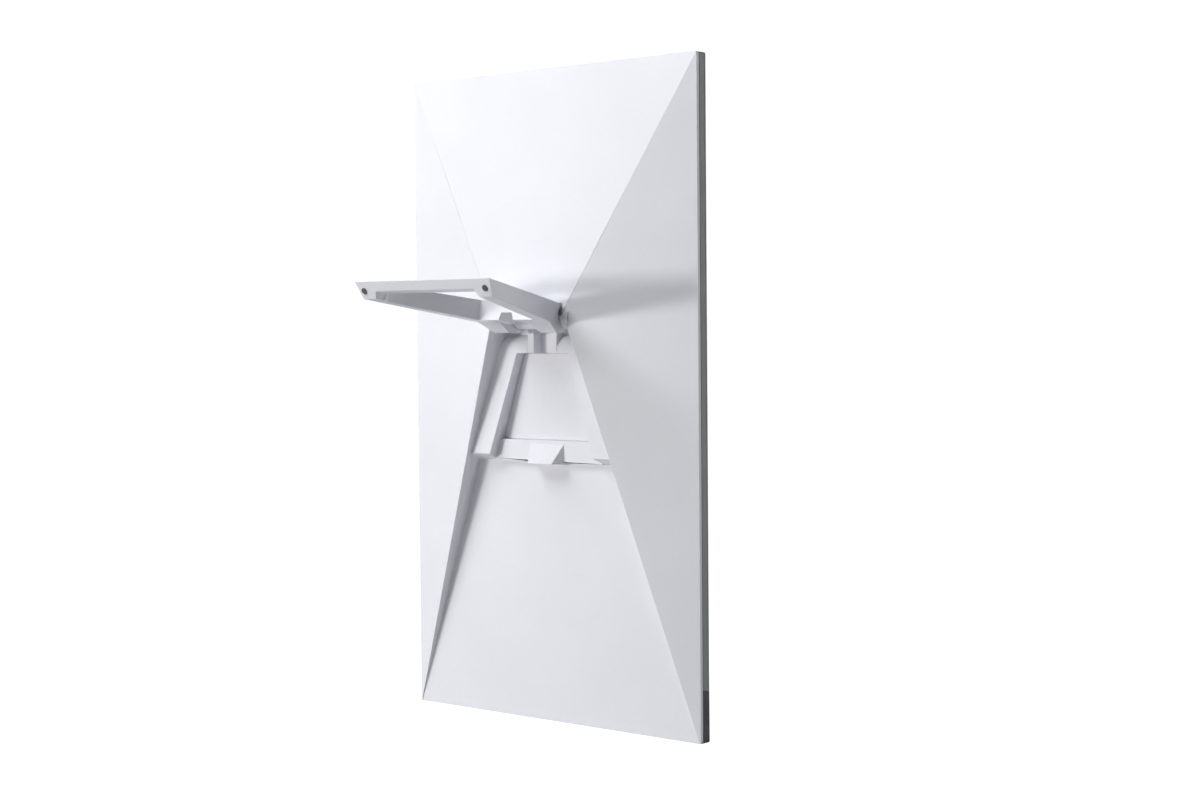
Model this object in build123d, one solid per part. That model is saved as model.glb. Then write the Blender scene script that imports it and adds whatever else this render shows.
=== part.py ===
from build123d import *
import os
from math import sqrt

# Portable drawing board, in millimetres. It stands on its bottom edge, +Z up, with the drawing face
# towards -Y and the folding leg on the +Y side. The origin is the middle of the bottom edge's
# underside, half-way through the panel's thickness. Right is +X, as the person drawing sees it.
# A point on the back is given by its "drop", the distance below the hinge axis, and its "rise", the
# height above the plane of the shell's rim.

# Board
WIDTH = 344.0
HEIGHT = 600.0
CORNER_R = 2.0
PANEL_T = 8.6
GAP_T = 0.9
RIM_T = 3.3

# Back shell
SKIN = 2.6
SIDE_SLOPE = 0.237
SHELL_LIFT = 0.4
BAY_HALF_TOP = 47.5
BAY_HALF_BOTTOM = 171.0
BAY_TOP_DROP = 10.2
RIB_T = 2.0

# Hinge
HINGE_Z = 373.0
HINGE_RISE = 20.0
BARREL_R = 10.9
LUG_INNER = 10.3
LUG_OUTER = 17.7
BOSS_FACE = 39.15
BUSH_BORE_R = 5.0
AXLE_R = 3.0
AXLE_HALF = 53.0
RUNNING_FIT = 0.05
LOCATING_FIT = 0.02
KNUCKLE_R = 14.2
ARM_ROOM = 42.0
ARM_ROOM_DROP = 6.5
SCOOP_R = 14.6
OPEN_ANGLE = 98.4
STOP_GAP = 0.25

# Leg, as it lies folded
LEG_LENGTH = 148.7
LEG_LENGTH_UNDER = 139.1
LEG_HALF_AXIS = 36.9
LEG_HALF_FOOT = 81.8
LEG_DRAFT = 4.7
CHEEK_HALF = 38.3
CHEEK_R = 12.9
LEG_OUTER = 10.5
LEG_UNDER_TOP = -9.2
LEG_UNDER_FOOT = -3.7
LEG_KNEE = 11.5
HEEL_START = 28.0
HEEL_DROP = 10.5
HEEL_DEPTH = 16.0
HEEL_ROUND = 4.0
ARM_W = 15.6
WINDOW_TOP = 37.9
WINDOW_FOOT = 131.0
NOTCH_HALF = 19.0
NOTCH_DROP = 17.0
GROOVE_HALF = 9.3
GROOVE_ROOF_HALF = 6.5
GROOVE_ROOF = -1.1
GRIP_NOTCH_HALF = 63.0
GRIP_NOTCH_ROOF_HALF = 58.8
GRIP_NOTCH_OUTER = 2.4
PAD_R = 3.0
PAD_PROUD = 0.9
PAD_DEPTH = 1.6
PAD_HALF = 73.1
PAD_OUT = 2.85

# Seat rails, cover, cross bar and finger ramp
RAIL_RISE_TOP = 10.2
RAIL_RISE_END = 14.5
RAIL_ROLL_R = 15.5
RAIL_ROLL_DROP = 31.0
RAIL_INNER_TOP = 31.5
RAIL_INNER_SLOPE = 0.3375
RAIL_END = 127.0
RAIL_TOE = 133.0
COVER_TOP = 33.0
COVER_FOOT = 113.0
COVER_T = 1.2
COVER_GAP = 0.5
POCKET_LEDGE = 2.5
BAR_RISE = 4.5
RAMP_HALF = 20.5
RAMP_CREST_HALF = 14.3
RAMP_TOP = 116.0
RAMP_FOOT = 132.0
RAMP_CREST_DROP = 134.0
RAMP_RISE = 15.4

# Panel
FRAME_WALL = 4.0
LIP_W = 9.0
LIP_T = 1.6
INNER_R = 0.6
SEAL_INSET = 1.2
SEAL_W = 3.0
SHEET_T = 1.2
SHEET_CORNER_R = 3.0
BACKING_T = 0.8
GRIP_DEPTH = 2.2
GRIP_TALL = 46.0
SCREW_R = 1.5
HEAD_R = 3.2

# Planes and lines that follow from the above
HALF_W = WIDTH / 2
FACE_Y = -PANEL_T / 2
LIP_Y = FACE_Y + LIP_T
BACKING_Y = PANEL_T / 2 - BACKING_T
SHELL_Y = PANEL_T / 2 + GAP_T
RIM_Y = SHELL_Y + RIM_T
HINGE_Y = RIM_Y + HINGE_RISE
CREST_Y = HINGE_Y + BARREL_R
TOP_RUN = HEIGHT - HINGE_Z
# The top facet runs from the rim's upper edge and just touches the hinge barrel.
TOP_SLOPE = (TOP_RUN * HINGE_RISE + BARREL_R * sqrt(TOP_RUN**2 + HINGE_RISE**2 - BARREL_R**2)) / (
    TOP_RUN**2 - BARREL_R**2
)
BAY_SLOPE = (BAY_HALF_BOTTOM - BAY_HALF_TOP) / (HINGE_Z - BAY_TOP_DROP)
LEG_SPREAD = (LEG_HALF_FOOT - LEG_HALF_AXIS) / LEG_LENGTH
END_RUN = LEG_LENGTH - LEG_LENGTH_UNDER
END_TALL = LEG_OUTER - LEG_UNDER_FOOT
HINGE_AXIS = Axis((0, HINGE_Y, HINGE_Z), (1, 0, 0))
POCKET_Y = SHELL_Y + 0.8
COVER_Y = RIM_Y - COVER_T

# Screw places as (x, z) on one half of the board, mirrored to the other
SHELL_SCREWS = [(150, 170), (140, 262), (135, 373), (135, 480), (60, 545), (60, 450), (48, 315), (66, 262)]
HINGE_SCREWS = [(22, HINGE_Z - 46), (34, HINGE_Z - 76), (46, HINGE_Z - 104)]
RIB_HEIGHTS = [120, 215, 310, 420, 510]
FAR = 80.0


def prism_y(points, y0, y1):
    """A straight-sided outline in x and z, thickened from y0 to y1."""
    outline = Polyline(*[(x, y0, z) for x, z in points], close=True)
    return extrude(make_face(outline), amount=y1 - y0, dir=(0, 1, 0))


def prism_x(points, x0, x1):
    """A straight-sided outline in y and z, thickened from x0 to x1."""
    outline = Polyline(*[(x0, y, z) for y, z in points], close=True)
    return extrude(make_face(outline), amount=x1 - x0, dir=(1, 0, 0))


def prism_z(points, z0, z1):
    """A straight-sided outline in x and y, thickened from z0 to z1."""
    outline = Polyline(*[(x, y, z0) for x, y in points], close=True)
    return extrude(make_face(outline), amount=z1 - z0, dir=(0, 0, 1))


def block(x0, x1, y0, y1, z0, z1):
    return prism_z([(x0, y0), (x1, y0), (x1, y1), (x0, y1)], z0, z1)


def rod_x(radius, x0, x1, y=HINGE_Y, z=HINGE_Z):
    """A round bar across the board, on the hinge axis unless told otherwise."""
    disc = Plane((x0, y, z), x_dir=(0, 1, 0), z_dir=(1, 0, 0)) * Circle(radius)
    return extrude(disc, amount=x1 - x0, dir=(1, 0, 0))


def rod_y(radius, x, z, y0, y1):
    """A round bar through the board's thickness."""
    disc = Plane((x, y0, z), x_dir=(1, 0, 0), z_dir=(0, 1, 0)) * Circle(radius)
    return extrude(disc, amount=y1 - y0, dir=(0, 1, 0))


def rod_z(radius, x, y, z0, z1):
    """An upright round bar."""
    disc = Plane((x, y, z0)) * Circle(radius)
    return extrude(disc, amount=z1 - z0, dir=(0, 0, 1))


def both_sides(half):
    """A shape on the +X side together with its mirror image."""
    return half + mirror(half, about=Plane.YZ)


def slab(inset, y0, y1, corner=CORNER_R, lift=0.0):
    """The board's rounded outline drawn in by inset, thickened from y0 to y1."""
    tall = HEIGHT - lift - 2 * inset
    middle = lift + inset + tall / 2
    sketch = Plane((0, y0, middle), x_dir=(1, 0, 0), z_dir=(0, -1, 0)) * RectangleRounded(
        WIDTH - 2 * inset, tall, corner
    )
    return extrude(sketch, amount=y1 - y0, dir=(0, 1, 0))


def bay_half(drop):
    """Half-width of the bay between the two side walls."""
    return BAY_HALF_TOP + BAY_SLOPE * (drop - BAY_TOP_DROP)


def rail_inner(drop):
    """Half-width at which a seat rail's inner wall stands."""
    return RAIL_INNER_TOP + RAIL_INNER_SLOPE * (drop - COVER_TOP)


def rail_y(drop):
    """The level of the seat rails' tops."""
    share = (drop - RAIL_ROLL_DROP) / (RAIL_END - RAIL_ROLL_DROP)
    return RIM_Y + RAIL_RISE_TOP + share * (RAIL_RISE_END - RAIL_RISE_TOP)


def leg_under(drop):
    """How far out from the hinge axis the folded leg's underside lies."""
    share = (drop - LEG_KNEE) / (LEG_LENGTH_UNDER - LEG_KNEE)
    return LEG_UNDER_TOP + share * (LEG_UNDER_FOOT - LEG_UNDER_TOP)


def leg_half(drop):
    """Half-width of the leg's outer sides."""
    return LEG_HALF_AXIS + LEG_SPREAD * drop


def opened(shape):
    """Turns a shape drawn on the folded leg to where it stands with the leg open."""
    return shape.rotate(HINGE_AXIS, OPEN_ANGLE)


def envelope(skin, open_y):
    """The faceted body of the back shell, drawn in by the thickness of a wall."""
    side_drop = skin * sqrt(1 + SIDE_SLOPE**2)
    top_drop = skin * sqrt(1 + TOP_SLOPE**2)
    edge_y = RIM_Y + SIDE_SLOPE * skin - side_drop
    ridge_y = RIM_Y + SIDE_SLOPE * HALF_W - side_drop
    half = HALF_W - skin
    section = [(-half, open_y), (half, open_y), (half, edge_y), (0, ridge_y), (-half, edge_y)]
    crest_y = CREST_Y - skin
    crest_z = HEIGHT - (crest_y + top_drop - RIM_Y) / TOP_SLOPE
    head_y = RIM_Y + TOP_SLOPE * skin - top_drop
    head_z = HEIGHT - skin
    foot_z = SHELL_LIFT + skin
    profile = [(open_y, foot_z), (crest_y, foot_z), (crest_y, crest_z), (head_y, head_z), (open_y, head_z)]
    corner = max(CORNER_R - skin, 0.5)
    body = slab(skin, open_y, CREST_Y, corner, SHELL_LIFT)
    return body & prism_z(section, 0, HEIGHT) & prism_x(profile, -HALF_W, HALF_W)


def bay(widen, y0):
    """The open bay below the hinge, or the same with room for its walls."""
    top = BAY_HALF_TOP + widen
    foot = bay_half(HINGE_Z + 10) + widen
    knee_z = HINGE_Z - BAY_TOP_DROP
    half = [(0, HINGE_Z), (top, HINGE_Z), (top, knee_z), (foot, -10), (0, -10)]
    return both_sides(prism_y(half, y0, CREST_Y + 5))


def seat_rails():
    """The two raised rails under the folded leg's arms, rolled off to the floor below the hinge."""
    roll_z = HINGE_Z - RAIL_ROLL_DROP
    root_y = RIM_Y - 1
    profile = [
        (root_y, roll_z),
        (rail_y(RAIL_ROLL_DROP), roll_z),
        (rail_y(RAIL_END), HINGE_Z - RAIL_END),
        (RIM_Y, HINGE_Z - RAIL_TOE),
        (root_y, HINGE_Z - RAIL_TOE),
    ]
    roll = rod_x(RAIL_ROLL_R, -HALF_W, HALF_W, rail_y(RAIL_ROLL_DROP) - RAIL_ROLL_R, roll_z)
    roll &= block(-HALF_W, HALF_W, root_y, CREST_Y, roll_z - 1, HINGE_Z)
    plan = [
        (LUG_OUTER - 1, HINGE_Z - BAY_TOP_DROP - 1),
        (bay_half(BAY_TOP_DROP) + 1, HINGE_Z - BAY_TOP_DROP - 1),
        (bay_half(RAIL_TOE) + 1, HINGE_Z - RAIL_TOE),
        (rail_inner(RAIL_TOE), HINGE_Z - RAIL_TOE),
        (RAIL_INNER_TOP, HINGE_Z - COVER_TOP),
        (LUG_OUTER - 1, HINGE_Z - COVER_TOP),
    ]
    side = prism_x(profile, -HALF_W, HALF_W) + roll
    return both_sides(side & prism_y(plan, root_y, CREST_Y))


def finger_ramp():
    """A hipped wedge on the cross bar that a finger slides under the folded leg on."""
    crest_y = RIM_Y + RAMP_RISE
    wedge = prism_x(
        [
            (RIM_Y, HINGE_Z - RAMP_TOP),
            (RIM_Y + BAR_RISE, HINGE_Z - RAMP_TOP),
            (crest_y, HINGE_Z - RAMP_CREST_DROP),
            (RIM_Y, HINGE_Z - RAMP_FOOT),
        ],
        -RAMP_HALF,
        RAMP_HALF,
    )
    bar_y = RIM_Y + BAR_RISE
    half = [(0, RIM_Y), (RAMP_HALF, RIM_Y), (RAMP_HALF, bar_y), (RAMP_CREST_HALF, crest_y), (0, crest_y)]
    return wedge & both_sides(prism_z(half, HINGE_Z - RAMP_CREST_DROP, HINGE_Z - RAMP_TOP))


def cross_bar():
    """The low bar between the rails' ends, with the finger ramp on it."""
    half = [
        (0, HINGE_Z - COVER_FOOT),
        (rail_inner(COVER_FOOT) + 1, HINGE_Z - COVER_FOOT),
        (rail_inner(RAIL_TOE) + 1, HINGE_Z - RAIL_TOE),
        (0, HINGE_Z - RAIL_TOE),
    ]
    return both_sides(prism_y(half, RIM_Y - 1, RIM_Y + BAR_RISE)) + finger_ramp()


def hinge_supports():
    """The side bosses, the centre barrel and the two lugs under it."""
    boss = rod_x(BARREL_R, BOSS_FACE, BAY_HALF_TOP + 1)
    lug = block(LUG_INNER, LUG_OUTER, RIM_Y - 1, rail_y(COVER_TOP), HINGE_Z - COVER_TOP, HINGE_Z + 1)
    return both_sides(boss + lug) + rod_x(BARREL_R, -LUG_OUTER, LUG_OUTER)


def leg_clearance():
    """The space that the leg's knuckles sweep, with the land that stops the leg when it is open."""
    scoop = rod_x(SCOOP_R, LUG_OUTER, BOSS_FACE)
    land_y = HINGE_Y + LEG_OUTER + STOP_GAP
    sweep = block(LUG_OUTER, BOSS_FACE, HINGE_Y, land_y, HINGE_Z - FAR, HINGE_Z)
    flare = block(BOSS_FACE - 1, ARM_ROOM, HINGE_Y, land_y, HINGE_Z - FAR, HINGE_Z - ARM_ROOM_DROP)
    return both_sides(scoop + opened(sweep + flare))


def cover_outline(inset, y0, y1):
    """The trapezoid between the seat rails, drawn in by inset, with round corners."""
    top = COVER_TOP + inset
    foot = COVER_FOOT - inset
    half = [
        (0, HINGE_Z - top),
        (rail_inner(top) - inset, HINGE_Z - top),
        (rail_inner(foot) - inset, HINGE_Z - foot),
        (0, HINGE_Z - foot),
    ]
    plate = both_sides(prism_y(half, y0, y1))
    corners = [e for e in plate.edges().filter_by(Axis.Y) if abs(e.center().X) > 1]
    return fillet(corners, 3.0)


def shell_cavity():
    """The hollow inside the shell, open to the panel, with its ribs and screw posts left standing."""
    wall = SKIN * sqrt(1 + BAY_SLOPE**2)
    open_y = SHELL_Y - 1
    hollow = envelope(SKIN, open_y) - bay(wall, open_y - 1) - rod_x(SCOOP_R + SKIN, -50.25, 50.25)
    for z in RIB_HEIGHTS:
        hollow -= block(-HALF_W, HALF_W, open_y, CREST_Y, z - RIB_T / 2, z + RIB_T / 2)
    rib = block(89, 89 + RIB_T, open_y, CREST_Y, HINGE_Z, HEIGHT)
    hollow -= both_sides(rib)
    for x, z in SHELL_SCREWS:
        hollow -= both_sides(rod_y(2 * HEAD_R - 1, x, z, open_y, CREST_Y))
    return hollow


def back_shell():
    body = envelope(0, SHELL_Y) - bay(0, RIM_Y)
    body += seat_rails() + cross_bar() + hinge_supports()
    body -= leg_clearance()
    body -= shell_cavity()
    body -= cover_outline(0, COVER_Y - 0.05, RIM_Y + 1)
    body -= cover_outline(POCKET_LEDGE, POCKET_Y, RIM_Y)
    body -= both_sides(rod_x(BUSH_BORE_R, BOSS_FACE - 1, AXLE_HALF + 2))
    body -= rod_x(BUSH_BORE_R, -LUG_OUTER - 1, LUG_OUTER + 1)
    body -= rod_z(2.0, 0, HINGE_Y, HINGE_Z - BARREL_R - 1, HINGE_Z)
    for x, z in SHELL_SCREWS:
        body -= both_sides(rod_y(SCREW_R, x, z, SHELL_Y - 1, shell_screw_tip(x, z)))
    for x, z in HINGE_SCREWS:
        body -= both_sides(rod_y(SCREW_R + 0.2, x, z, SHELL_Y - 1, RIM_Y))
    return body


def recess_cover():
    return cover_outline(COVER_GAP, COVER_Y, RIM_Y)


def shell_screw_tip(x, z):
    """How deep a shell screw may go without breaking through the back."""
    roof = min(SIDE_SLOPE * (HALF_W - x), TOP_SLOPE * (HEIGHT - z))
    in_rail = x < bay_half(HINGE_Z - z)
    room = min(roof, 9.0) if in_rail else roof
    return RIM_Y + min(room, 12.0) - 1.6


def base_grip():
    """A rubber strip along the bottom edge whose ends turn up the sides."""
    grip = slab(0, FACE_Y, PANEL_T / 2) - slab(GRIP_DEPTH, FACE_Y - 1, PANEL_T / 2 + 1, INNER_R)
    slant = 1.0
    keep = [(FACE_Y - 1, -1), (PANEL_T / 2 + 1, -1), (PANEL_T / 2 + 1, GRIP_TALL + slant), (FACE_Y - 1, GRIP_TALL - slant)]
    return grip & prism_x(keep, -HALF_W - 1, HALF_W + 1)


def front_frame():
    """The ring round the panel: a wall on all four sides and a lip round the drawing surface."""
    ring = slab(0, FACE_Y, PANEL_T / 2)
    ring -= slab(LIP_W, FACE_Y - 1, LIP_Y + 1, SHEET_CORNER_R)
    ring -= slab(FRAME_WALL, LIP_Y, PANEL_T / 2 + 1, 2.0)
    return ring - base_grip()


def drawing_surface():
    return slab(LIP_W + 0.2, LIP_Y - SHEET_T, LIP_Y, SHEET_CORNER_R - 0.2)


def shell_screws():
    """Flat-headed screws driven from the front, under the drawing surface."""
    screws = None
    for x, z in SHELL_SCREWS:
        head = rod_y(HEAD_R, x, z, LIP_Y, LIP_Y + 1.4)
        shank = rod_y(SCREW_R - LOCATING_FIT, x, z, LIP_Y, shell_screw_tip(x, z) - 0.5)
        pair = both_sides(head + shank)
        screws = pair if screws is None else screws + pair
    return screws


def hinge_screws():
    """Pan-headed screws under the recess cover, driven through the hinge plate into the core."""
    screws = None
    for x, z in HINGE_SCREWS:
        head = rod_y(HEAD_R, x, z, POCKET_Y, POCKET_Y + 1.1)
        shank = rod_y(SCREW_R - LOCATING_FIT, x, z, LIP_Y + 0.7, POCKET_Y + 0.5)
        pair = both_sides(head + shank)
        screws = pair if screws is None else screws + pair
    return screws


def drill(sheet, places, radius, y0, y1):
    """Drills the same hole at each place on both halves of the board."""
    for x, z in places:
        sheet -= both_sides(rod_y(radius, x, z, y0, y1))
    return sheet


def core_panel():
    core = slab(FRAME_WALL + 0.2, LIP_Y, BACKING_Y, 1.8)
    core = drill(core, SHELL_SCREWS, SCREW_R, LIP_Y - 1, BACKING_Y + 1)
    core = drill(core, SHELL_SCREWS, HEAD_R + 0.1, LIP_Y - 1, LIP_Y + 1.45)
    return drill(core, HINGE_SCREWS, SCREW_R, LIP_Y + 0.6, BACKING_Y + 1)


def backing_sheet():
    sheet = slab(FRAME_WALL + 0.2, BACKING_Y, PANEL_T / 2, 1.8)
    return drill(sheet, SHELL_SCREWS + HINGE_SCREWS, SCREW_R + 0.2, BACKING_Y - 1, PANEL_T / 2 + 1)


def edge_seal():
    """A foam ring in the gap between the panel and the shell's rim."""
    outer = slab(SEAL_INSET, PANEL_T / 2, SHELL_Y, INNER_R, SHELL_LIFT)
    return outer - slab(SEAL_INSET + SEAL_W, PANEL_T / 2 - 1, SHELL_Y + 1, INNER_R, SHELL_LIFT)


def hinge_plate():
    """A steel sheet between the core and the shell, behind the hinge."""
    plate = block(-62, 62, PANEL_T / 2, SHELL_Y - 0.05, HINGE_Z - 118, HINGE_Z + 28)
    plate = fillet(plate.edges().filter_by(Axis.Y), 6.0)
    places = [p for p in SHELL_SCREWS if p[0] < 60] + HINGE_SCREWS
    return drill(plate, places, SCREW_R + 0.2, 0, RIM_Y)


def bush(side):
    """A flanged bush in a side boss, for the axle to turn in."""
    flange = rod_x(8.0, BOSS_FACE - 0.6, BOSS_FACE - 0.02)
    sleeve = rod_x(BUSH_BORE_R - LOCATING_FIT, BOSS_FACE - 0.6, 50.2)
    right = flange + sleeve - rod_x(AXLE_R + RUNNING_FIT, 30, 60)
    return right if side > 0 else mirror(right, about=Plane.YZ)


def friction_sleeve():
    """A split sleeve in the centre barrel that grips the axle."""
    sleeve = rod_x(BUSH_BORE_R - LOCATING_FIT, -17.2, 17.2) - rod_x(AXLE_R + 0.02, -20, 20)
    return sleeve - block(-20, 20, HINGE_Y - 0.6, HINGE_Y + 0.6, HINGE_Z, HINGE_Z + 9)


def tension_screw():
    """A hollow-headed screw from below that squeezes the friction sleeve."""
    screw = rod_z(1.97, 0, HINGE_Y, HINGE_Z - BARREL_R + 0.6, HINGE_Z - BUSH_BORE_R - 0.05)
    socket = rod_z(1.0, 0, HINGE_Y, HINGE_Z - BARREL_R, HINGE_Z - BARREL_R + 2.6)
    return screw - socket


def hinge_axle():
    axle = rod_x(AXLE_R, -AXLE_HALF, AXLE_HALF)
    return opened(chamfer(axle.edges(), 0.5))


def retaining_ring(side):
    ring = rod_x(5.2, 50.6, 51.4) - rod_x(AXLE_R + LOCATING_FIT, 49, 53)
    ring -= block(49, 53, HINGE_Y - 1.6, HINGE_Y + 1.6, HINGE_Z - 8, HINGE_Z)
    ring = opened(ring)
    return ring if side > 0 else mirror(ring, about=Plane.YZ)


def set_screw_hole(radius, depth0, depth1):
    """A hole or screw across a knuckle, square to the leg's underside."""
    middle = (NOTCH_HALF + LEG_HALF_AXIS) / 2
    return both_sides(rod_y(radius, middle, HINGE_Z, HINGE_Y - depth1, HINGE_Y - depth0))


def axle_set_screws():
    screws = set_screw_hole(SCREW_R - LOCATING_FIT, AXLE_R + 0.1, AXLE_R + 7)
    return opened(screws - set_screw_hole(0.8, AXLE_R + 5, AXLE_R + 8))


def leg_profile():
    """The folded leg seen from the side: a tapering bar with a slanted end and a round hinge end."""
    outer_y = HINGE_Y + LEG_OUTER
    bar = [
        (outer_y, HINGE_Z),
        (outer_y, HINGE_Z - LEG_LENGTH),
        (HINGE_Y + LEG_UNDER_FOOT, HINGE_Z - LEG_LENGTH_UNDER),
        (HINGE_Y + leg_under(LEG_KNEE), HINGE_Z - LEG_KNEE),
        (HINGE_Y, HINGE_Z),
    ]
    knuckle = rod_x(KNUCKLE_R, -FAR - 10, FAR + 10)
    knuckle &= block(-FAR - 10, FAR + 10, HINGE_Y - FAR, outer_y, HINGE_Z - FAR, HINGE_Z + FAR)
    return prism_x(bar, -FAR - 10, FAR + 10) + knuckle


def heels():
    """The ramps under the two knuckles that run from the arms down to a rounded heel."""
    ramp = [
        (HINGE_Y, HINGE_Z - HEEL_START),
        (HINGE_Y + leg_under(HEEL_START), HINGE_Z - HEEL_START),
        (HINGE_Y - HEEL_DEPTH, HINGE_Z - HEEL_DROP),
        (HINGE_Y - KNUCKLE_R + 0.6, HINGE_Z + 2.0),
        (HINGE_Y, HINGE_Z + 2.0),
    ]
    heel = prism_x(ramp, NOTCH_HALF - 1, FAR)
    crest = heel.edges().filter_by(Axis.X).sort_by(Axis.Y)[0]
    return both_sides(fillet(crest, HEEL_ROUND))


def leg_plan():
    """The leg's outline, drawn on its outer face and drafted inwards towards its underside."""
    drawn = Plane((0, HINGE_Y + LEG_OUTER, 0), x_dir=(1, 0, 0), z_dir=(0, -1, 0))
    top_drop = -KNUCKLE_R - 5
    foot_drop = LEG_LENGTH + 5
    half = [(leg_half(drop), HINGE_Z - drop) for drop in (top_drop, foot_drop)]
    points = half + [(-x, z) for x, z in reversed(half)]
    outline = make_face(Polyline(*points, close=True))
    return extrude(drawn * outline, amount=LEG_OUTER + KNUCKLE_R + 5, taper=LEG_DRAFT)


def leg_window():
    """The opening between the arms."""
    half = [
        (0, HINGE_Z - WINDOW_TOP),
        (leg_half(WINDOW_TOP) - ARM_W, HINGE_Z - WINDOW_TOP),
        (leg_half(WINDOW_FOOT) - ARM_W, HINGE_Z - WINDOW_FOOT),
        (0, HINGE_Z - WINDOW_FOOT),
    ]
    hole = both_sides(prism_y(half, HINGE_Y - FAR, HINGE_Y + FAR))
    return fillet([e for e in hole.edges().filter_by(Axis.Y) if abs(e.center().X) > 1], 3.0)


def knuckle_notch():
    """The gap between the knuckles, with the groove that runs on from it under the cross bar."""
    top_z = HINGE_Z + KNUCKLE_R + 1
    notch = block(-NOTCH_HALF, NOTCH_HALF, HINGE_Y - FAR, HINGE_Y + FAR, HINGE_Z - NOTCH_DROP, top_z)
    notch = fillet([e for e in notch.edges().filter_by(Axis.Y) if e.center().Z < HINGE_Z], 4.0)
    roof_y = HINGE_Y + GROOVE_ROOF
    open_y = HINGE_Y - LEG_OUTER - 1
    half = [(0, open_y), (GROOVE_HALF, open_y), (GROOVE_ROOF_HALF, roof_y), (0, roof_y)]
    groove = both_sides(prism_z(half, HINGE_Z - WINDOW_TOP - 1, HINGE_Z))
    rims = [e for e in groove.edges().filter_by(Axis.Z) if abs(e.center().X) > 1 and e.center().Y > HINGE_Y - 3]
    return notch + fillet(rims, 1.5)


def grip_notch():
    """The hollow under the end bar that fingers reach into."""
    roof_y = HINGE_Y + GRIP_NOTCH_OUTER
    open_y = HINGE_Y + LEG_UNDER_FOOT - 1
    half = [(0, open_y), (GRIP_NOTCH_HALF, open_y), (GRIP_NOTCH_ROOF_HALF, roof_y), (0, roof_y)]
    return both_sides(prism_z(half, HINGE_Z - LEG_LENGTH - 1, HINGE_Z - WINDOW_FOOT + 0.5))


def leg_frame():
    body = (leg_profile() + heels()) & leg_plan()
    body -= leg_window() + knuckle_notch() + grip_notch()
    body -= both_sides(rod_x(CHEEK_R, CHEEK_HALF, FAR))
    body -= rod_x(AXLE_R + LOCATING_FIT, -FAR, FAR)
    body -= set_screw_hole(SCREW_R, AXLE_R - 1, HEEL_DEPTH + 3)
    body -= both_sides(pad_seat(PAD_R + 0.05, 0))
    return opened(body)


def pad_seat(radius, proud):
    """The pocket for a foot pad in the leg's slanted end face, or the pad that fills it."""
    drop = LEG_LENGTH_UNDER + (PAD_OUT - LEG_UNDER_FOOT) * END_RUN / END_TALL
    face = Plane((PAD_HALF, HINGE_Y + PAD_OUT, HINGE_Z - drop), x_dir=(1, 0, 0), z_dir=(0, -END_RUN, -END_TALL))
    return extrude(face.offset(-PAD_DEPTH) * Circle(radius), amount=PAD_DEPTH + proud)


def foot_pad(side):
    pad = pad_seat(PAD_R, PAD_PROUD)
    pad = fillet(pad.edges().sort_by(Axis.Z)[0], 0.6)
    pad = opened(pad)
    return pad if side > 0 else mirror(pad, about=Plane.YZ)


PARTS = {
    "back_shell": back_shell(),
    "recess_cover": recess_cover(),
    "edge_seal": edge_seal(),
    "front_frame": front_frame(),
    "base_grip": base_grip(),
    "drawing_surface": drawing_surface(),
    "core_panel": core_panel(),
    "backing_sheet": backing_sheet(),
    "hinge_plate": hinge_plate(),
    "hinge_screws": hinge_screws(),
    "shell_screws": shell_screws(),
    "bush_left": bush(-1),
    "bush_right": bush(1),
    "friction_sleeve": friction_sleeve(),
    "tension_screw": tension_screw(),
    "leg_frame": leg_frame(),
    "hinge_axle": hinge_axle(),
    "axle_set_screws": axle_set_screws(),
    "retaining_ring_left": retaining_ring(-1),
    "retaining_ring_right": retaining_ring(1),
    "foot_pad_left": foot_pad(-1),
    "foot_pad_right": foot_pad(1),
}

os.makedirs("parts", exist_ok=True)
for name, shape in PARTS.items():
    export_step(shape, f"parts/{name}.step")
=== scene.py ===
import math

import bmesh
import bpy
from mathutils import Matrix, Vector


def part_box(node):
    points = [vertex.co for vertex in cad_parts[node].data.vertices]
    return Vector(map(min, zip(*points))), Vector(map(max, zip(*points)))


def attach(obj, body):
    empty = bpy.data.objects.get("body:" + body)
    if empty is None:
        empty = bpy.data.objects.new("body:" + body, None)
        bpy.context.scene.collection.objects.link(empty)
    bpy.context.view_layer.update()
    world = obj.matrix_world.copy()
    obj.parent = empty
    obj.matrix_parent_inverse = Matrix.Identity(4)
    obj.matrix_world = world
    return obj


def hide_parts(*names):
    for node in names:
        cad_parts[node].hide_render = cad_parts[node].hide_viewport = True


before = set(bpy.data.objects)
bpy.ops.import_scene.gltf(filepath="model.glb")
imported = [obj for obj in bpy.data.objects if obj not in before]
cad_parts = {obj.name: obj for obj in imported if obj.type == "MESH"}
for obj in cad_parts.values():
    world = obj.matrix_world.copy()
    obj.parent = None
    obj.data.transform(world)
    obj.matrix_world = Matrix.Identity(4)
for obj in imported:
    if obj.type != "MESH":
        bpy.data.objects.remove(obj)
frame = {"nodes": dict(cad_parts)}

bl_info = {
    "name": "Portable drawing board",
    "version": (1, 0, 0),
    "blender": (4, 5, 0),
    "location": "3D View > Sidebar > Drawing board",
    "description": "Builds a portable drawing board with a folding back leg, piece by piece",
    "category": "Object",
}

# Places that every piece measures from, in metres
HINGE = Vector((0.0, 0.0285, 0.373))
OPEN_TILT = math.radians(8.4)
END_SLANT = math.radians(34.06)
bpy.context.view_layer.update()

# Foot pads and screw heads, in metres
PAD_RADIUS = 0.003
PAD_DEPTH = 0.0025
PAD_CROWN_INSET = 0.0009
PAD_CROWN_DISH = 0.0002
HEAD_RIM = 0.0018
HEAD_RECESS = 0.0006

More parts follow.
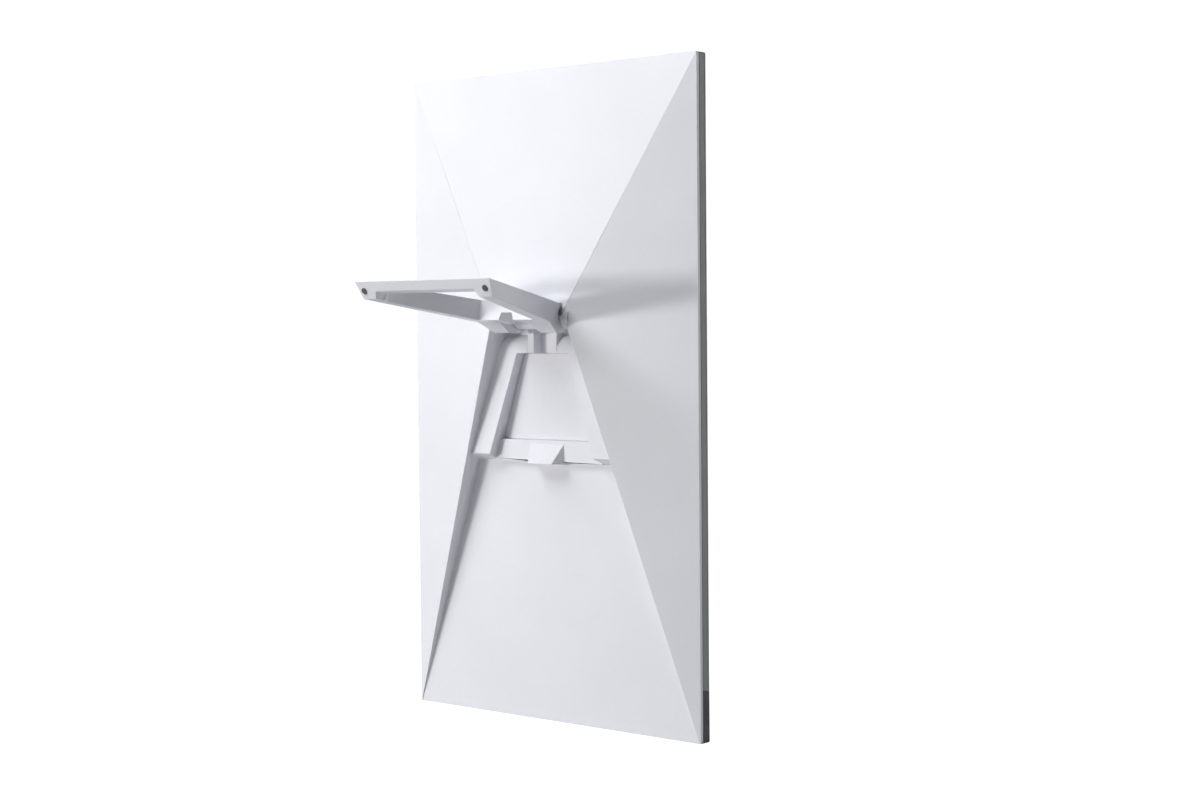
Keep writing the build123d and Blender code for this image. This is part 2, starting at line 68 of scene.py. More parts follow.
# The studio, in metres: each soft light's name, place, size, setting for its strength, and tint
FLOOR_SIDE = 14.0
BACKDROP = 1.05
WARM = (1.0, 0.995, 0.98)
COOL = (0.95, 0.985, 1.0)
SOFTBOXES = [
    ("side_softbox", (1.25, 2.05, 0.4), (0.6, 0.22), "key_power", WARM),
    ("high_softbox", (0.9, 1.25, 2.0), (1.3, 1.3), "high_power", COOL),
    ("overhead_softbox", (0.0, 0.5, 3.4), (2.4, 2.0), "top_power", COOL),
    ("fill_softbox", (-2.1, -1.5, 0.7), (1.5, 1.5), "fill_power", COOL),
    ("front_softbox", (-0.2, 2.8, 1.0), (1.5, 1.5), "front_power", COOL),
]


# ---------------------------------------------------------------- sizes and colours


class BoardSizes(bpy.types.PropertyGroup):
    shell_edge: bpy.props.FloatProperty(
        name="Shell edge", description="Radius worn on the shell's moulded edges",
        default=0.0004, unit="LENGTH", subtype="DISTANCE",
    )
    facet_ridge: bpy.props.FloatProperty(
        name="Facet ridge", description="Width of the soft ridge between two facets of the shell",
        default=0.0007, unit="LENGTH", subtype="DISTANCE",
    )
    leg_edge: bpy.props.FloatProperty(
        name="Leg edge", description="Radius on the leg's moulded edges",
        default=0.0005, unit="LENGTH", subtype="DISTANCE",
    )
    frame_edge: bpy.props.FloatProperty(
        name="Frame edge", description="Radius on the panel frame's edges",
        default=0.0004, unit="LENGTH", subtype="DISTANCE",
    )
    frame_groove: bpy.props.FloatProperty(
        name="Frame groove", description="Depth of the fine groove that runs round the panel's edge",
        default=0.0004, unit="LENGTH", subtype="DISTANCE",
    )
    pad_dome: bpy.props.FloatProperty(
        name="Pad dome", description="Radius rolled on the rim of a foot pad",
        default=0.0005, unit="LENGTH", subtype="DISTANCE",
    )
    metal_edge: bpy.props.FloatProperty(
        name="Metal edge", description="Break on the edges of the small turned and pressed parts",
        default=0.00015, unit="LENGTH", subtype="DISTANCE",
    )


class BoardFinishes(bpy.types.PropertyGroup):
    white: bpy.props.FloatVectorProperty(
        name="White plastic", description="Colour of the back shell, its cover and the leg",
        default=(0.876, 0.870, 0.915), subtype="COLOR", size=3,
    )
    frame: bpy.props.FloatVectorProperty(
        name="Frame plastic", description="Colour of the ring round the panel",
        default=(0.34, 0.34, 0.35), subtype="COLOR", size=3,
    )
    rubber: bpy.props.FloatVectorProperty(
        name="Grip rubber", description="Colour of the strip along the bottom edge",
        default=(0.11, 0.11, 0.118), subtype="COLOR", size=3,
    )
    pad: bpy.props.FloatVectorProperty(
        name="Pad rubber", description="Colour of the two foot pads",
        default=(0.11, 0.11, 0.12), subtype="COLOR", size=3,
    )
    sheet: bpy.props.FloatVectorProperty(
        name="Drawing sheet", description="Colour of the surface that is drawn on",
        default=(0.74, 0.75, 0.74), subtype="COLOR", size=3,
    )


class StageSettings(bpy.types.PropertyGroup):
    eye: bpy.props.FloatVectorProperty(
        name="Eye", description="Where the camera stands",
        default=(-1.24509, 1.40202, 0.36405), unit="LENGTH", subtype="TRANSLATION", size=3,
    )
    turn: bpy.props.FloatVectorProperty(
        name="Turn", description="Which way the camera looks",
        default=(math.radians(87.931), math.radians(0.47494), math.radians(-139.64357)),
        subtype="EULER", size=3,
    )
    lens: bpy.props.FloatProperty(
        name="Lens", description="Focal length on a 36 mm wide sensor, in millimetres", default=61.0775,
    )
    paper: bpy.props.FloatVectorProperty(
        name="Floor", description="Colour of the floor", default=(0.5, 0.5, 0.505), subtype="COLOR", size=3,
    )
    key_power: bpy.props.FloatProperty(
        name="Side light", description="Strength of the soft light beside the board, in watts", default=21.0,
    )
    high_power: bpy.props.FloatProperty(
        name="High light", description="Strength of the soft light above and in front, in watts", default=40.0,
    )
    top_power: bpy.props.FloatProperty(
        name="Overhead light", description="Strength of the soft light overhead, in watts", default=11.0,
    )
    fill_power: bpy.props.FloatProperty(
        name="Fill light", description="Strength of the soft light that faces the drawing side, in watts",
        default=20.0,
    )
    front_power: bpy.props.FloatProperty(
        name="Front light", description="Strength of the weak light that faces the back shell, in watts",
        default=1.3,
    )
    fill: bpy.props.FloatProperty(
        name="Fill", description="Strength of the even light from all round", default=0.02,
    )


# ---------------------------------------------------------------- selecting and shaping


def deselect():
    """Leaves nothing selected and nothing in edit mode."""
    if bpy.context.object is not None and bpy.context.object.mode != "OBJECT":
        bpy.ops.object.mode_set(mode="OBJECT")
    bpy.ops.object.select_all(action="DESELECT")


def take(piece):
    """Makes one piece the only selected and the active object."""
    deselect()
    piece.select_set(True)
    bpy.context.view_layer.objects.active = piece
    return piece


def settle(piece):
    """Puts a piece's place into its mesh, so that its object sits at the origin."""
    take(piece)
    bpy.ops.object.transform_apply(location=True, rotation=True, scale=True)
    return piece


def pick(piece, wanted, kind="FACE"):
    """Goes into edit mode with just the wanted faces or edges selected, and says how many."""
    take(piece)
    bpy.ops.object.mode_set(mode="EDIT")
    bpy.context.tool_settings.mesh_select_mode = (False, kind == "EDGE", kind == "FACE")
    bpy.ops.mesh.select_all(action="DESELECT")
    mesh = bmesh.from_edit_mesh(piece.data)
    chosen = [part for part in (mesh.faces if kind == "FACE" else mesh.edges) if wanted(part)]
    for part in chosen:
        part.select_set(True)
    mesh.select_flush_mode()
    bmesh.update_edit_mesh(piece.data)
    return len(chosen)


def leave():
    bpy.ops.object.mode_set(mode="OBJECT")


def merged_copy(node, name, angle=0.3):
    """A copy of a part with its loose triangles joined into whole flat faces."""
    source = frame["nodes"][node]
    piece = bpy.data.objects.new(name, source.data.copy())
    piece.data.name = name
    piece.data.materials.clear()
    bpy.context.scene.collection.objects.link(piece)
    take(piece)
    bpy.ops.object.mode_set(mode="EDIT")
    bpy.ops.mesh.customdata_custom_splitnormals_clear()
    bpy.ops.mesh.select_all(action="SELECT")
    bpy.ops.mesh.remove_doubles(threshold=2e-6)
    bpy.ops.mesh.dissolve_limited(angle_limit=math.radians(angle))
    leave()
    return piece


def bend_angle(edge):
    """How sharply two faces meet along an edge, in degrees, or nothing on an open edge."""
    return math.degrees(edge.calc_face_angle(0.0)) if len(edge.link_faces) == 2 else 0.0


def ease(piece, width, wanted, steps=2):
    """Rounds the wanted edges by a small radius."""
    if pick(piece, wanted, "EDGE") == 0:
        leave()
        raise RuntimeError(f"{piece.name}: no edge to round")
    bpy.ops.mesh.bevel(
        offset=width, offset_type="OFFSET", segments=steps, profile=0.5, affect="EDGES",
        clamp_overlap=False, miter_outer="ARC", loop_slide=True,
    )
    leave()


def soften(piece, angle=30.0):
    """Smooth shading that keeps flat faces flat, with the wide faces leading the narrow ones."""
    take(piece)
    bpy.ops.object.shade_smooth_by_angle(angle=math.radians(angle), keep_sharp_edges=False)
    even = piece.modifiers.new("Even shading", "WEIGHTED_NORMAL")
    even.keep_sharp = True
    even.weight = 100
    bpy.ops.object.modifier_apply(modifier=even.name)


def sharp(limit=25.0):
    return lambda edge: bend_angle(edge) > limit


def finish_piece(piece, material, slot, body, *nodes):
    """Gives a piece its material, hides the parts it replaces and hangs it on the body it moves with."""
    piece.data.materials.clear()
    piece.data.materials.append(material)
    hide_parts(*nodes)
    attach(piece, body)
    deselect()


# ---------------------------------------------------------------- finishes


class Finish:
    """A material's node tree, with short ways to add what every finish here is made of."""

    def __init__(self, name):
        self.material = bpy.data.materials.new(name)
        self.material.use_nodes = True
        self.tree = self.material.node_tree
        self.shader = self.tree.nodes["Principled BSDF"]
        self.place = self.tree.nodes.new("ShaderNodeTexCoord").outputs["Object"]

    def join(self, a, b):
        self.tree.links.new(a, b)

    def stretched(self, scale):
        """Object coordinates drawn out along one or two axes."""
        node = self.tree.nodes.new("ShaderNodeMapping")
        node.inputs["Scale"].default_value = scale
        self.join(self.place, node.inputs["Vector"])
        return node.outputs["Vector"]

    def noise(self, scale, detail=3.0, rough=0.5, where=None):
        node = self.tree.nodes.new("ShaderNodeTexNoise")
        node.inputs["Scale"].default_value = scale
        node.inputs["Detail"].default_value = detail
        node.inputs["Roughness"].default_value = rough
        self.join(where or self.place, node.inputs["Vector"])
        return node.outputs["Fac"]

    def cells(self, scale, feature="F1"):
        node = self.tree.nodes.new("ShaderNodeTexVoronoi")
        node.feature = feature
        node.inputs["Scale"].default_value = scale
        self.join(self.place, node.inputs["Vector"])
        return node.outputs["Distance"]

    def fit(self, value, low, high, to_low, to_high):
        """Maps a value's range onto another."""
        node = self.tree.nodes.new("ShaderNodeMapRange")
        node.inputs["From Min"].default_value = low
        node.inputs["From Max"].default_value = high
        node.inputs["To Min"].default_value = to_low
        node.inputs["To Max"].default_value = to_high
        self.join(value, node.inputs["Value"])
        return node.outputs["Result"]

    def blend(self, factor, first, second):
        """Mixes two colours. Each is a colour or another node's output."""
        node = self.tree.nodes.new("ShaderNodeMix")
        node.data_type = "RGBA"
        self.join(factor, node.inputs["Factor"])
        for socket, colour in ((node.inputs[6], first), (node.inputs[7], second)):
            if isinstance(colour, bpy.types.NodeSocket):
                self.join(colour, socket)
            else:
                socket.default_value = (*colour, 1.0)
        return node.outputs[2]

    def sum(self, first, second, operation="ADD"):
        node = self.tree.nodes.new("ShaderNodeMath")
        node.operation = operation
        self.join(first, node.inputs[0])
        if isinstance(second, bpy.types.NodeSocket):
            self.join(second, node.inputs[1])
        else:
            node.inputs[1].default_value = second
        return node.outputs[0]

    def worn_edges(self, radius):
        """One along an edge that hands and tables rub, nothing on the flat."""
        rounded = self.tree.nodes.new("ShaderNodeBevel")
        rounded.samples = 4
        rounded.inputs["Radius"].default_value = radius
        flat = self.tree.nodes.new("ShaderNodeNewGeometry")
        turn = self.tree.nodes.new("ShaderNodeVectorMath")
        turn.operation = "DOT_PRODUCT"
        self.join(rounded.outputs["Normal"], turn.inputs[0])
        self.join(flat.outputs["Normal"], turn.inputs[1])
        return self.fit(turn.outputs["Value"], 0.995, 0.93, 0.0, 1.0)

    def bump(self, height, distance, strength=1.0):
        node = self.tree.nodes.new("ShaderNodeBump")
        node.inputs["Distance"].default_value = distance
        node.inputs["Strength"].default_value = strength
        self.join(height, node.inputs["Height"])
        self.join(node.outputs["Normal"], self.shader.inputs["Normal"])

    def colour(self, output):
        self.join(output, self.shader.inputs["Base Color"])

    def roughness(self, output):
        self.join(output, self.shader.inputs["Roughness"])


def tone(colour, share):
    return tuple(min(max(c * share, 0.0), 1.0) for c in colour)


def moulded_plastic(
    name, colour, rough=(0.42, 0.55), grain=0.00004, grain_scale=2600.0, spread=0.025, worn=1.04
):
    """Fine spark-eroded plastic with slow shade changes and rubbed edges."""
    f = Finish(name)
    slow = f.noise(7.0, 3.0)
    fleck = f.noise(420.0, 2.0, 0.6)
    body = f.blend(f.fit(slow, 0.3, 0.7, 0.0, 1.0), tone(colour, 1 - spread), tone(colour, 1 + spread))
    body = f.blend(f.fit(fleck, 0.45, 0.8, 0.0, 0.35), body, tone(colour, 0.94))
    rub = f.sum(f.worn_edges(0.0007), f.fit(f.noise(60.0, 4.0, 0.7), 0.35, 0.65, 0.1, 0.6), "MULTIPLY")
    f.colour(f.blend(rub, body, tone(colour, worn)))
    f.roughness(f.fit(f.noise(34.0, 4.0), 0.3, 0.7, *rough))
    f.shader.inputs["IOR"].default_value = 1.46
    texture = f.sum(f.cells(grain_scale), f.noise(grain_scale * 0.6, 2.0), "ADD")
    f.bump(texture, grain, 0.55)
    return f.material


def rubber(name, colour, scale=1500.0):
    """Matt rubber with a dusty bloom and a pebbled skin."""
    f = Finish(name)
    dust = f.noise(26.0, 5.0, 0.65)
    body = f.blend(f.fit(dust, 0.35, 0.75, 0.0, 1.0), tone(colour, 0.86), tone(colour, 1.35))
    f.colour(f.blend(f.sum(f.worn_edges(0.0006), 0.5, "MULTIPLY"), body, tone(colour, 1.8)))
    f.roughness(f.fit(f.noise(80.0, 4.0), 0.3, 0.7, 0.68, 0.86))
    f.shader.inputs["IOR"].default_value = 1.5
    f.bump(f.sum(f.cells(scale), f.noise(scale * 0.3, 3.0), "ADD"), 0.00009, 0.6)
    return f.material


def drawing_laminate(name, colour):
    """Matt laminate: an even, very fine tooth with faint rubbed and cleaned patches."""
    f = Finish(name)
    body = f.blend(f.fit(f.noise(5.0, 4.0), 0.3, 0.7, 0.0, 1.0), tone(colour, 0.975), tone(colour, 1.02))
    body = f.blend(f.fit(f.noise(900.0, 2.0), 0.5, 0.8, 0.0, 0.3), body, tone(colour, 0.9))
    graphite = f.fit(f.noise(3.0, 6.0, 0.7), 0.55, 0.8, 0.0, 0.12)
    f.colour(f.blend(graphite, body, tone(colour, 0.72)))
    f.roughness(f.fit(f.noise(12.0, 5.0), 0.3, 0.7, 0.48, 0.66))
    f.bump(f.noise(3800.0, 2.0), 0.00002, 0.5)
    return f.material


def metal(name, colour, rough=(0.25, 0.42), drawn=(1.0, 1.0, 1.0), grain=0.00001, scale=900.0):
    """Machined or plated metal with tool marks drawn out along one way."""
    f = Finish(name)
    marks = f.noise(scale, 4.0, 0.6, f.stretched(drawn))
    f.colour(f.blend(f.fit(f.noise(90.0, 4.0), 0.3, 0.7, 0.0, 1.0), tone(colour, 0.86), tone(colour, 1.08)))
    f.roughness(f.fit(marks, 0.3, 0.7, *rough))
    f.shader.inputs["Metallic"].default_value = 1.0
    f.bump(marks, grain, 0.6)
    return f.material


def light_wood(name):
    """Sawn light core wood, its grain running up the board."""
    f = Finish(name)
    along = f.stretched((9.0, 9.0, 0.7))
    ring = f.noise(22.0, 6.0, 0.6, along)
    body = f.blend(f.fit(ring, 0.35, 0.65, 0.0, 1.0), (0.50, 0.36, 0.22), (0.70, 0.55, 0.37))
    f.colour(f.blend(f.fit(f.noise(160.0, 3.0, 0.7, along), 0.5, 0.75, 0.0, 0.5), body, (0.36, 0.24, 0.14)))
    f.roughness(f.fit(ring, 0.3, 0.7, 0.6, 0.82))
    f.bump(f.noise(220.0, 4.0, 0.6, along), 0.0001, 0.5)
    return f.material


def foam(name, colour):
    """Closed-cell foam: a field of tiny bubbles."""
    f = Finish(name)
    f.colour(f.blend(f.fit(f.cells(2200.0), 0.0, 0.6, 0.0, 1.0), tone(colour, 0.5), tone(colour, 1.3)))
    f.roughness(f.fit(f.noise(60.0), 0.3, 0.7, 0.85, 0.97))
    f.bump(f.cells(2200.0), 0.00012, 0.7)
    return f.material


MADE = {}


def finish(name):
    """The material for one of the board's finishes, made the first time it is asked for."""
    if name not in MADE:
        chosen = bpy.context.scene.board_finishes
        recipes = {
            "shell": lambda: moulded_plastic("white_moulded_shell", chosen.white),
            "leg": lambda: moulded_plastic("white_moulded_leg", chosen.white, grain_scale=2900.0),
            "frame": lambda: moulded_plastic(
                "dark_moulded_frame", chosen.frame, rough=(0.45, 0.6), spread=0.06, worn=1.5
            ),
            "grip": lambda: rubber("grip_rubber", chosen.rubber),
            "pad": lambda: rubber("pad_rubber", chosen.pad, 2600.0),
            "sheet": lambda: drawing_laminate("drawing_laminate", chosen.sheet),
            "core": lambda: light_wood("light_core_wood"),
            "backing": lambda: moulded_plastic("black_backing_sheet", (0.03, 0.03, 0.032), worn=1.3),
            # the edge seal is made near black: partly the seal's own colour, partly painted shade for the
            # narrow gap between panel and shell
            "foam": lambda: foam("black_seal_foam", (0.012, 0.012, 0.013)),
            "zinc": lambda: metal("zinc_plate", (0.62, 0.63, 0.64), (0.3, 0.5), (1.0, 1.0, 0.15)),
            "screw": lambda: metal("zinc_screw", (0.55, 0.55, 0.57), (0.28, 0.45)),
            "axle": lambda: metal("ground_steel", (0.56, 0.57, 0.58), (0.16, 0.3), (0.06, 1.0, 1.0)),
            "bush": lambda: moulded_plastic("natural_nylon", (0.70, 0.68, 0.62), rough=(0.3, 0.42), worn=1.1),
            "brass": lambda: metal("turned_brass", (0.72, 0.53, 0.22), (0.2, 0.36), (0.2, 1.0, 1.0)),
        }
        MADE[name] = recipes[name]()
    return MADE[name]


# ---------------------------------------------------------------- the pieces


class BOARD_OT_back_shell(bpy.types.Operator):
    """Moulds the faceted back shell with its bay, rails, finger ramp and hinge supports"""

    bl_idname = "board.back_shell"
    bl_label = "Back shell"

    def execute(self, context):
        sizes = context.scene.board_sizes
        shell = merged_copy("back_shell", "moulded_back_shell")
        rim_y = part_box("recess_cover")[1][1]

        def outside(edge):
            middle = (edge.verts[0].co + edge.verts[1].co) / 2
            return middle.y > rim_y - 0.0042

        def ridge(edge):
            return 5.0 < bend_angle(edge) < 30.0 and edge.calc_length() > 0.1 and outside(edge)

        def moulded(edge):
            return bend_angle(edge) > 30.0 and edge.calc_length() > 0.0012 and outside(edge)

        ease(shell, sizes.facet_ridge, ridge, 2)
        ease(shell, sizes.shell_edge, moulded, 2)
        soften(shell)
        finish_piece(shell, finish("shell"), "shell_plastic", "board", "back_shell")
        return {"FINISHED"}


class BOARD_OT_recess_cover(bpy.types.Operator):
    """Makes the flat cover over the hinge screws, with eased edges"""

    bl_idname = "board.recess_cover"
    bl_label = "Recess cover"

    def execute(self, context):
        cover = merged_copy("recess_cover", "screw_cover")
        ease(cover, 0.00035, sharp(30.0), 3)
        soften(cover)
        finish_piece(cover, finish("shell"), "shell_plastic", "board", "recess_cover")
        return {"FINISHED"}


class BOARD_OT_panel_frame(bpy.types.Operator):
    """Makes the dark ring round the panel, with its fine groove"""

    bl_idname = "board.panel_frame"
    bl_label = "Panel frame"

    def execute(self, context):
        sizes = context.scene.board_sizes
        ring = merged_copy("front_frame", "panel_frame")
        low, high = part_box("front_frame")
        front, half = low[1], high[0]

        def outer_wall(face):
            middle = face.calc_center_median()
            out = Vector((middle.x, 0, 0)) if abs(face.normal.x) > 0.3 else Vector((0, 0, middle.z - 0.3))
            at_edge = abs(middle.x) > half - 0.002 or middle.z > high[2] - 0.002
            return abs(face.normal.y) < 0.1 and at_edge and face.normal.dot(out) > 0

        for place in (front + 0.0013, front + 0.0018):
            pick(ring, outer_wall)
            bpy.ops.mesh.bisect(plane_co=(0, place, 0), plane_no=(0, 1, 0))
            leave()

        def in_groove(face):
            return outer_wall(face) and front + 0.0013 < face.calc_center_median().y < front + 0.0018

        if pick(ring, in_groove) == 0:
            leave()
            raise RuntimeError("panel frame: the groove's faces weren't found")
        bpy.ops.mesh.extrude_region_shrink_fatten(TRANSFORM_OT_shrink_fatten={"value": -sizes.frame_groove})
        leave()

        def rim(edge):
            middle = (edge.verts[0].co + edge.verts[1].co) / 2
            level = abs(edge.verts[0].co.y - edge.verts[1].co.y) < 1e-5
            in_band = front + 0.0005 < middle.y < front + 0.003 and level
            return bend_angle(edge) > 40.0 and edge.calc_length() > 0.0008 and not in_band

        ease(ring, sizes.frame_edge, rim, 2)
        soften(ring)
        finish_piece(ring, finish("frame"), "frame_plastic", "board", "front_frame")
        return {"FINISHED"}


class BOARD_OT_base_grip(bpy.types.Operator):
    """Makes the rubber strip under the board, with fine treads along its underside"""

    bl_idname = "board.base_grip"
    bl_label = "Base grip"

    def execute(self, context):
        grip = merged_copy("base_grip", "base_grip_strip")
        treads = [-0.0026, -0.0018, -0.0004, 0.0004, 0.0018, 0.0026]

        def underside(face):
            return face.normal.z < -0.9 and face.calc_center_median().z < 0.001

        for place in treads:
            pick(grip, underside)
            bpy.ops.mesh.bisect(plane_co=(0, place, 0), plane_no=(0, 1, 0))
            leave()

        def tread(face):
            middle = face.calc_center_median()
            return underside(face) and any(a < middle.y < b for a, b in zip(treads[::2], treads[1::2]))

        if pick(grip, tread) == 0:
            leave()
            raise RuntimeError("base grip: the tread faces weren't found")
        bpy.ops.mesh.inset(thickness=0.0001)
        bpy.ops.mesh.extrude_region_shrink_fatten(TRANSFORM_OT_shrink_fatten={"value": -0.0005})
        leave()

        def outline(edge):
            middle = (edge.verts[0].co + edge.verts[1].co) / 2
            treaded = middle.z < 0.001 and abs(middle.y) < 0.0031
            return bend_angle(edge) > 40.0 and edge.calc_length() > 0.0008 and not treaded

        ease(grip, 0.0004, outline, 2)
        soften(grip)
        finish_piece(grip, finish("grip"), "grip_rubber", "board", "base_grip")
        return {"FINISHED"}


class BOARD_OT_drawing_surface(bpy.types.Operator):
    """Makes the sheet that is drawn on, with a rolled edge"""

    bl_idname = "board.drawing_surface"
    bl_label = "Drawing surface"

    def execute(self, context):
        sheet = merged_copy("drawing_surface", "drawing_sheet")
        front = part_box("drawing_surface")[0][1]

        def front_rim(edge):
            return bend_angle(edge) > 40.0 and all(v.co.y < front + 1e-4 for v in edge.verts)

        ease(sheet, 0.0006, front_rim, 3)
        soften(sheet)
        finish_piece(sheet, finish("sheet"), "drawing_sheet", "board", "drawing_surface")
        return {"FINISHED"}


class BOARD_OT_leg(bpy.types.Operator):
    """Moulds the A-shaped leg"""

    bl_idname = "board.leg"
    bl_label = "Leg"

    def execute(self, context):
        leg = merged_copy("leg_frame", "moulded_leg")

        def moulded(edge):
            return bend_angle(edge) > 28.0 and edge.calc_length() > 0.0011

        ease(leg, context.scene.board_sizes.leg_edge, moulded, 2)
        soften(leg)
        finish_piece(leg, finish("leg"), "leg_plastic", "leg", "leg_frame")
        return {"FINISHED"}


class BOARD_OT_foot_pads(bpy.types.Operator):
    """Makes the two round rubber pads in the leg's slanted end"""

    bl_idname = "board.foot_pads"
    bl_label = "Foot pads"

    def execute(self, context):
        for name in ("left", "right"):
            low, high = (Vector(corner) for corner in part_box(f"foot_pad_{name}"))
            middle = (low + high) / 2
            # the pad lies square to the slanted end, which leans by this much from the leg's own line
            lean = OPEN_TILT - END_SLANT
            outward = Vector((0, math.cos(lean), math.sin(lean)))
            deselect()
            bpy.ops.mesh.primitive_cylinder_add(
                vertices=48, radius=PAD_RADIUS, depth=PAD_DEPTH, end_fill_type="NGON", location=middle,
                rotation=outward.to_track_quat("Z", "Y").to_euler(),
            )
            pad = settle(context.object)
            pad.name = f"rubber_foot_{name}"

            def crown(face):
                return len(face.verts) > 4 and face.normal.dot(outward) > 0.9

            pick(pad, crown)
            bpy.ops.mesh.inset(thickness=PAD_CROWN_INSET)
            bpy.ops.mesh.extrude_region_shrink_fatten(TRANSFORM_OT_shrink_fatten={"value": -PAD_CROWN_DISH})
            leave()
            ease(pad, context.scene.board_sizes.pad_dome * 0.6, sharp(60.0), 3)
            soften(pad)
            finish_piece(pad, finish("pad"), "pad_rubber", "leg", f"foot_pad_{name}")
        return {"FINISHED"}


class BOARD_OT_hinge_parts(bpy.types.Operator):
    """Finishes the axle, bushes, sleeve, rings and screws of the hinge"""

    bl_idname = "board.hinge_parts"
    bl_label = "Hinge parts"

    def execute(self, context):
        edge = context.scene.board_sizes.metal_edge
        turned = [
            ("hinge_axle", "axle", "axle_steel", "leg"),
            ("friction_sleeve", "brass", "sleeve_brass", "board"),
            ("bush_left", "bush", "bush_plastic", "board"),
            ("bush_right", "bush", "bush_plastic", "board"),
            ("axle_set_screws", "screw", "screw_steel", "leg"),
            ("tension_screw", "screw", "screw_steel", "board"),
            ("retaining_ring_left", "screw", "screw_steel", "leg"),
            ("retaining_ring_right", "screw", "screw_steel", "leg"),
            ("hinge_plate", "zinc", "zinc_steel", "board"),
        ]
        for node, look, slot, body in turned:
            part = merged_copy(node, f"finished_{node}")
            ease(part, edge, sharp(40.0), 2)
            soften(part)
            finish_piece(part, finish(look), slot, body, node)
        return {"FINISHED"}


class BOARD_OT_screws(bpy.types.Operator):
    """Sinks a round recess into the head of every panel screw"""

    bl_idname = "board.screws"
    bl_label = "Panel screws"

    def execute(self, context):
        for node, face_turn in (("shell_screws", -1), ("hinge_screws", 1)):
            screws = merged_copy(node, f"finished_{node}")

            def head(face):
                return face.normal.y * face_turn > 0.9 and len(face.verts) > 8 and face.calc_area() > 1.5e-5

            if pick(screws, head) == 0:
                leave()
                raise RuntimeError(f"{node}: no screw head was found")
            bpy.ops.mesh.inset(thickness=HEAD_RIM, use_individual=True)
            bpy.ops.mesh.extrude_region_shrink_fatten(TRANSFORM_OT_shrink_fatten={"value": -HEAD_RECESS})
            leave()
            ease(screws, 0.00015, sharp(60.0), 2)
            soften(screws)
            finish_piece(screws, finish("screw"), "screw_steel", "board", node)
        return {"FINISHED"}


class BOARD_OT_inner_sheets(bpy.types.Operator):
    """Gives the core, backing sheet and edge seal their materials"""

    bl_idname = "board.inner_sheets"
    bl_label = "Core and seal"

    def execute(self, context):
        # the edge seal's near-black finish also paints the shade in the gap between panel and shell
        for node, look in (("core_panel", "core"), ("backing_sheet", "backing"), ("edge_seal", "foam")):
            for slot in frame["nodes"][node].material_slots:
                slot.material = finish(look)
        return {"FINISHED"}


# ---------------------------------------------------------------- the stage


def area_light(name, place, size, watts, colour):
    """A wide soft light that faces the hinge."""
    deselect()
    turn = (HINGE - Vector(place)).to_track_quat("-Z", "Y").to_euler()
    bpy.ops.object.light_add(type="AREA", location=place, rotation=turn)
    light = bpy.context.object
    light.name = name
    light.data.shape = "RECTANGLE"
    light.data.size = size[0]
    light.data.size_y = size[1]
    light.data.energy = watts
    light.data.color = colour
    return light


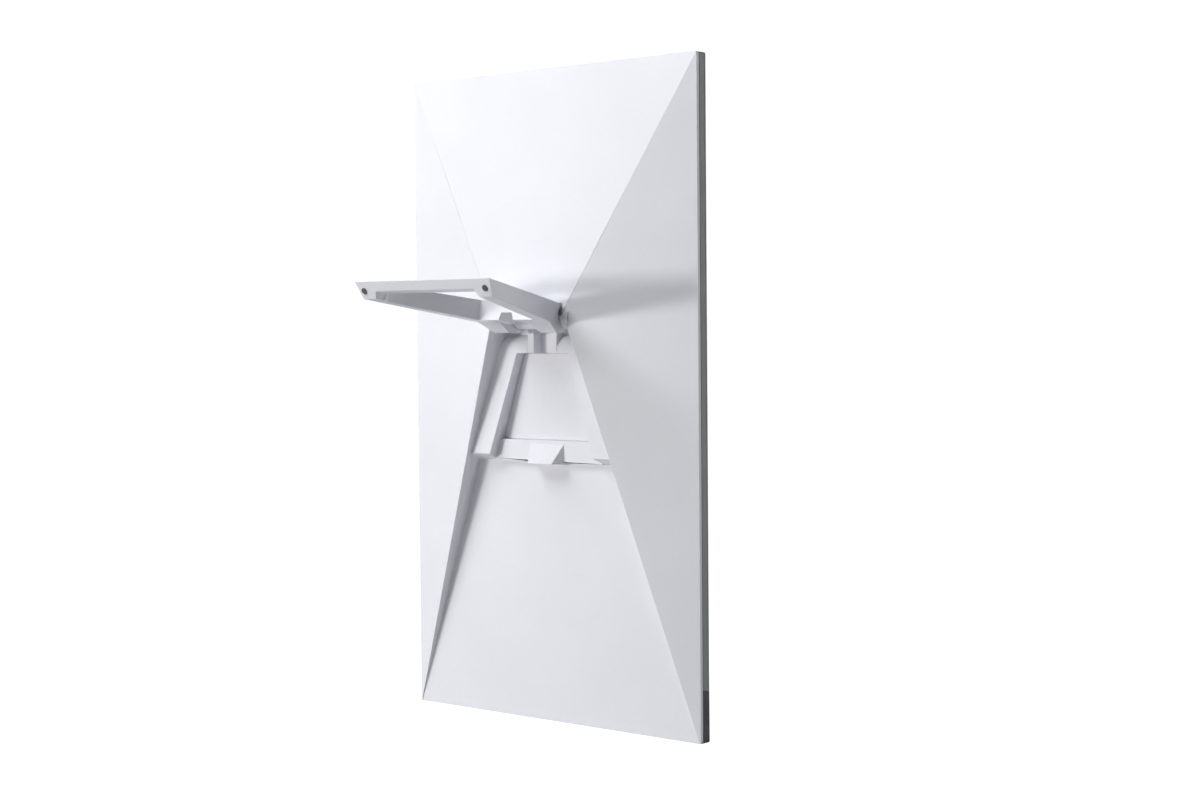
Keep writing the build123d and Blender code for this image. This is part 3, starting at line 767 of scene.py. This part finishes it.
class BOARD_OT_stage(bpy.types.Operator):
    """Lays the pale floor, hangs the soft lights and sets up the camera"""

    bl_idname = "board.stage"
    bl_label = "Floor, light and camera"

    def execute(self, context):
        scene = context.scene
        stage = scene.board_stage
        deselect()
        bpy.ops.mesh.primitive_plane_add(size=1.0, location=(0, 0, 0))
        floor = context.object
        floor.name = "pale_floor"
        floor.scale = (FLOOR_SIDE, FLOOR_SIDE, 1.0)
        settle(floor)
        look = Finish("pale_floor")
        grain = look.noise(3.0, 4.0)
        look.colour(look.blend(grain, tone(stage.paper, 0.985), tone(stage.paper, 1.01)))
        look.roughness(look.fit(grain, 0.3, 0.7, 0.75, 0.9))
        look.shader.inputs["Emission Color"].default_value = (1.0, 1.0, 1.0, 1.0)
        # the paper sweep is lit from behind, more so further off, without throwing light on the board
        reach = look.tree.nodes.new("ShaderNodeVectorMath")
        reach.operation = "LENGTH"
        look.join(look.place, reach.inputs[0])
        seen = look.tree.nodes.new("ShaderNodeLightPath").outputs["Is Camera Ray"]
        glow = look.fit(reach.outputs["Value"], 0.3, 1.4, 0.97, 1.0)
        look.join(look.sum(glow, seen, "MULTIPLY"), look.shader.inputs["Emission Strength"])
        look.bump(look.noise(300.0, 3.0), 0.0001, 0.3)
        floor.data.materials.append(look.material)

        for name, place, size, power, tint in SOFTBOXES:
            area_light(name, place, size, getattr(stage, power), tint)

        world = bpy.data.worlds.new("studio")
        scene.world = world
        world.use_nodes = True
        back = world.node_tree.nodes["Background"]
        seen = world.node_tree.nodes.new("ShaderNodeLightPath")
        strength = world.node_tree.nodes.new("ShaderNodeMapRange")
        strength.inputs["To Min"].default_value = stage.fill
        strength.inputs["To Max"].default_value = BACKDROP
        world.node_tree.links.new(seen.outputs["Is Camera Ray"], strength.inputs["Value"])
        world.node_tree.links.new(strength.outputs["Result"], back.inputs["Strength"])
        back.inputs["Color"].default_value = (1.0, 1.0, 1.0, 1.0)

        deselect()
        bpy.ops.object.camera_add(location=stage.eye, rotation=stage.turn)
        camera = context.object
        camera.name = "studio_camera"
        camera.data.sensor_fit = "HORIZONTAL"
        camera.data.sensor_width = 36.0
        camera.data.lens = stage.lens
        camera.data.clip_start = 0.05
        scene.camera = camera
        scene.view_settings.view_transform = "Standard"
        return {"FINISHED"}


# ---------------------------------------------------------------- the add-on


OPERATORS = (
    BOARD_OT_back_shell,
    BOARD_OT_recess_cover,
    BOARD_OT_panel_frame,
    BOARD_OT_base_grip,
    BOARD_OT_drawing_surface,
    BOARD_OT_leg,
    BOARD_OT_foot_pads,
    BOARD_OT_hinge_parts,
    BOARD_OT_screws,
    BOARD_OT_inner_sheets,
    BOARD_OT_stage,
)


class BOARD_PT_build(bpy.types.Panel):
    bl_label = "Drawing board"
    bl_idname = "BOARD_PT_build"
    bl_space_type = "VIEW_3D"
    bl_region_type = "UI"
    bl_category = "Drawing board"

    def draw(self, context):
        column = self.layout.column(align=True)
        for operator in OPERATORS:
            column.operator(operator.bl_idname)
        for group in (context.scene.board_sizes, context.scene.board_finishes, context.scene.board_stage):
            box = self.layout.box()
            for name in group.__annotations__:
                box.prop(group, name)


GROUPS = (BoardSizes, BoardFinishes, StageSettings)


def register():
    for item in (*GROUPS, *OPERATORS, BOARD_PT_build):
        bpy.utils.register_class(item)
    bpy.types.Scene.board_sizes = bpy.props.PointerProperty(type=BoardSizes)
    bpy.types.Scene.board_finishes = bpy.props.PointerProperty(type=BoardFinishes)
    bpy.types.Scene.board_stage = bpy.props.PointerProperty(type=StageSettings)


def unregister():
    del bpy.types.Scene.board_stage
    del bpy.types.Scene.board_finishes
    del bpy.types.Scene.board_sizes
    for item in reversed((*GROUPS, *OPERATORS, BOARD_PT_build)):
        bpy.utils.unregister_class(item)


def main():
    register()
    for operator in OPERATORS:
        group, name = operator.bl_idname.split(".")
        getattr(getattr(bpy.ops, group), name)()


if __name__ == "__main__":
    main()
